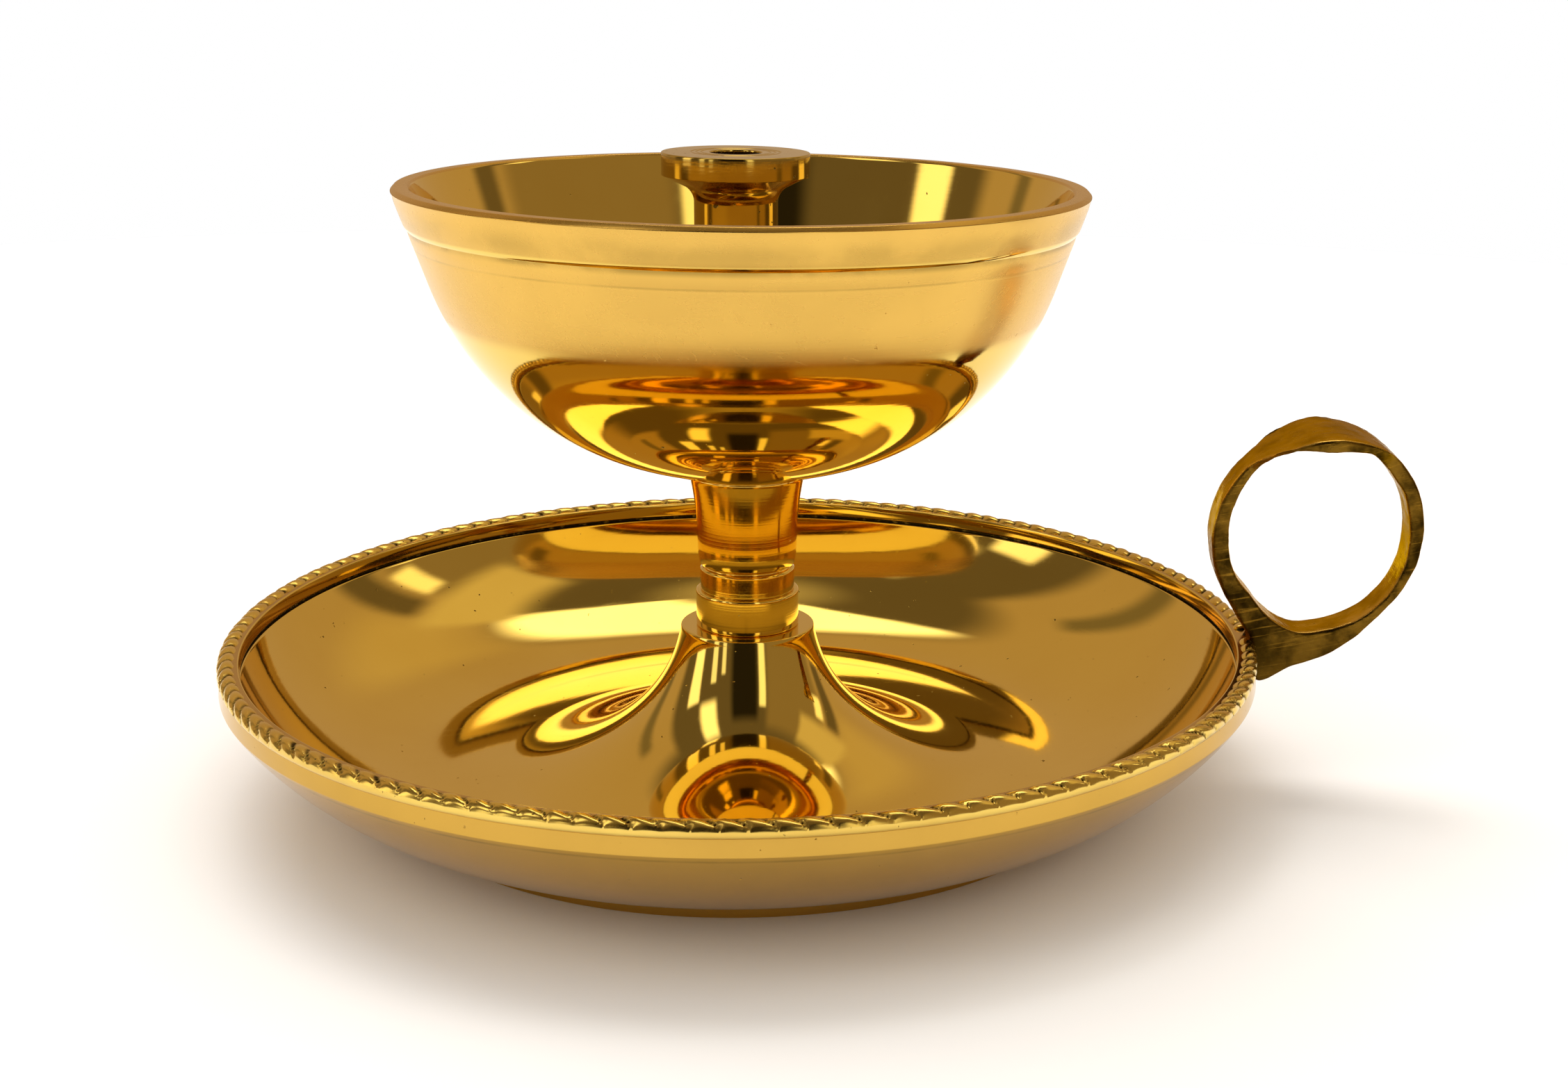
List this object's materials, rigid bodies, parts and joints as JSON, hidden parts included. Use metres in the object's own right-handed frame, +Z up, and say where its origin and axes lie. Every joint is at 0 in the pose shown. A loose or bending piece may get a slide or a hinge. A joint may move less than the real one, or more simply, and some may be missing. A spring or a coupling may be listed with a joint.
{
  "type": "chamber candlestick",
  "caption": "Brass chamber lamp: a polished bowl with a lift-out wick holder on a turned stem, in a drip dish with a rope edge and a finger ring",
  "frame": {"origin": "centre of the foot ring, on the table", "axes": "+Z up along the stem; +X out through the finger ring; +Y to the back"},
  "size_m": [0.1503, 0.13, 0.0792],
  "materials": {
    "polished_brass": "mirror polished, with fine wiping marks and small pits",
    "turned_brass": "lathe turned and polished, with fine rings",
    "cast_brass": "sand cast, filed at the edges and darkened",
    "plain_brass": "plain machined"
  },
  "bodies": {
    "base": {"saucer": "polished_brass", "handle": "cast_brass", "tie_stud": "plain_brass", "washer": "plain_brass", "nut": "plain_brass"},
    "collar": {"collar": "turned_brass"},
    "lamp": {"stem": "turned_brass", "bowl": "polished_brass"},
    "wick_holder": {"wick_holder": "turned_brass"}
  },
  "joints": [
    {"name": "bowl_unscrew", "type": "hinge", "parent": "base", "child": "collar", "pos_m": [0, 0, 0.0196], "axis": [0, 0, 1], "range_deg": [0, 3240]},
    {"name": "bowl_rise", "type": "slide", "parent": "collar", "child": "lamp", "axis": [0, 0, 1], "range_m": [0, 0.0072]},
    {"name": "wick_holder_lift", "type": "slide", "parent": "lamp", "child": "wick_holder", "axis": [0, 0, 1], "range_m": [0, 0.045]}
  ],
  "couplings": [
    {"joint": "bowl_rise", "follows": "bowl_unscrew", "m_per_rad": 0.00012732}
  ]
}
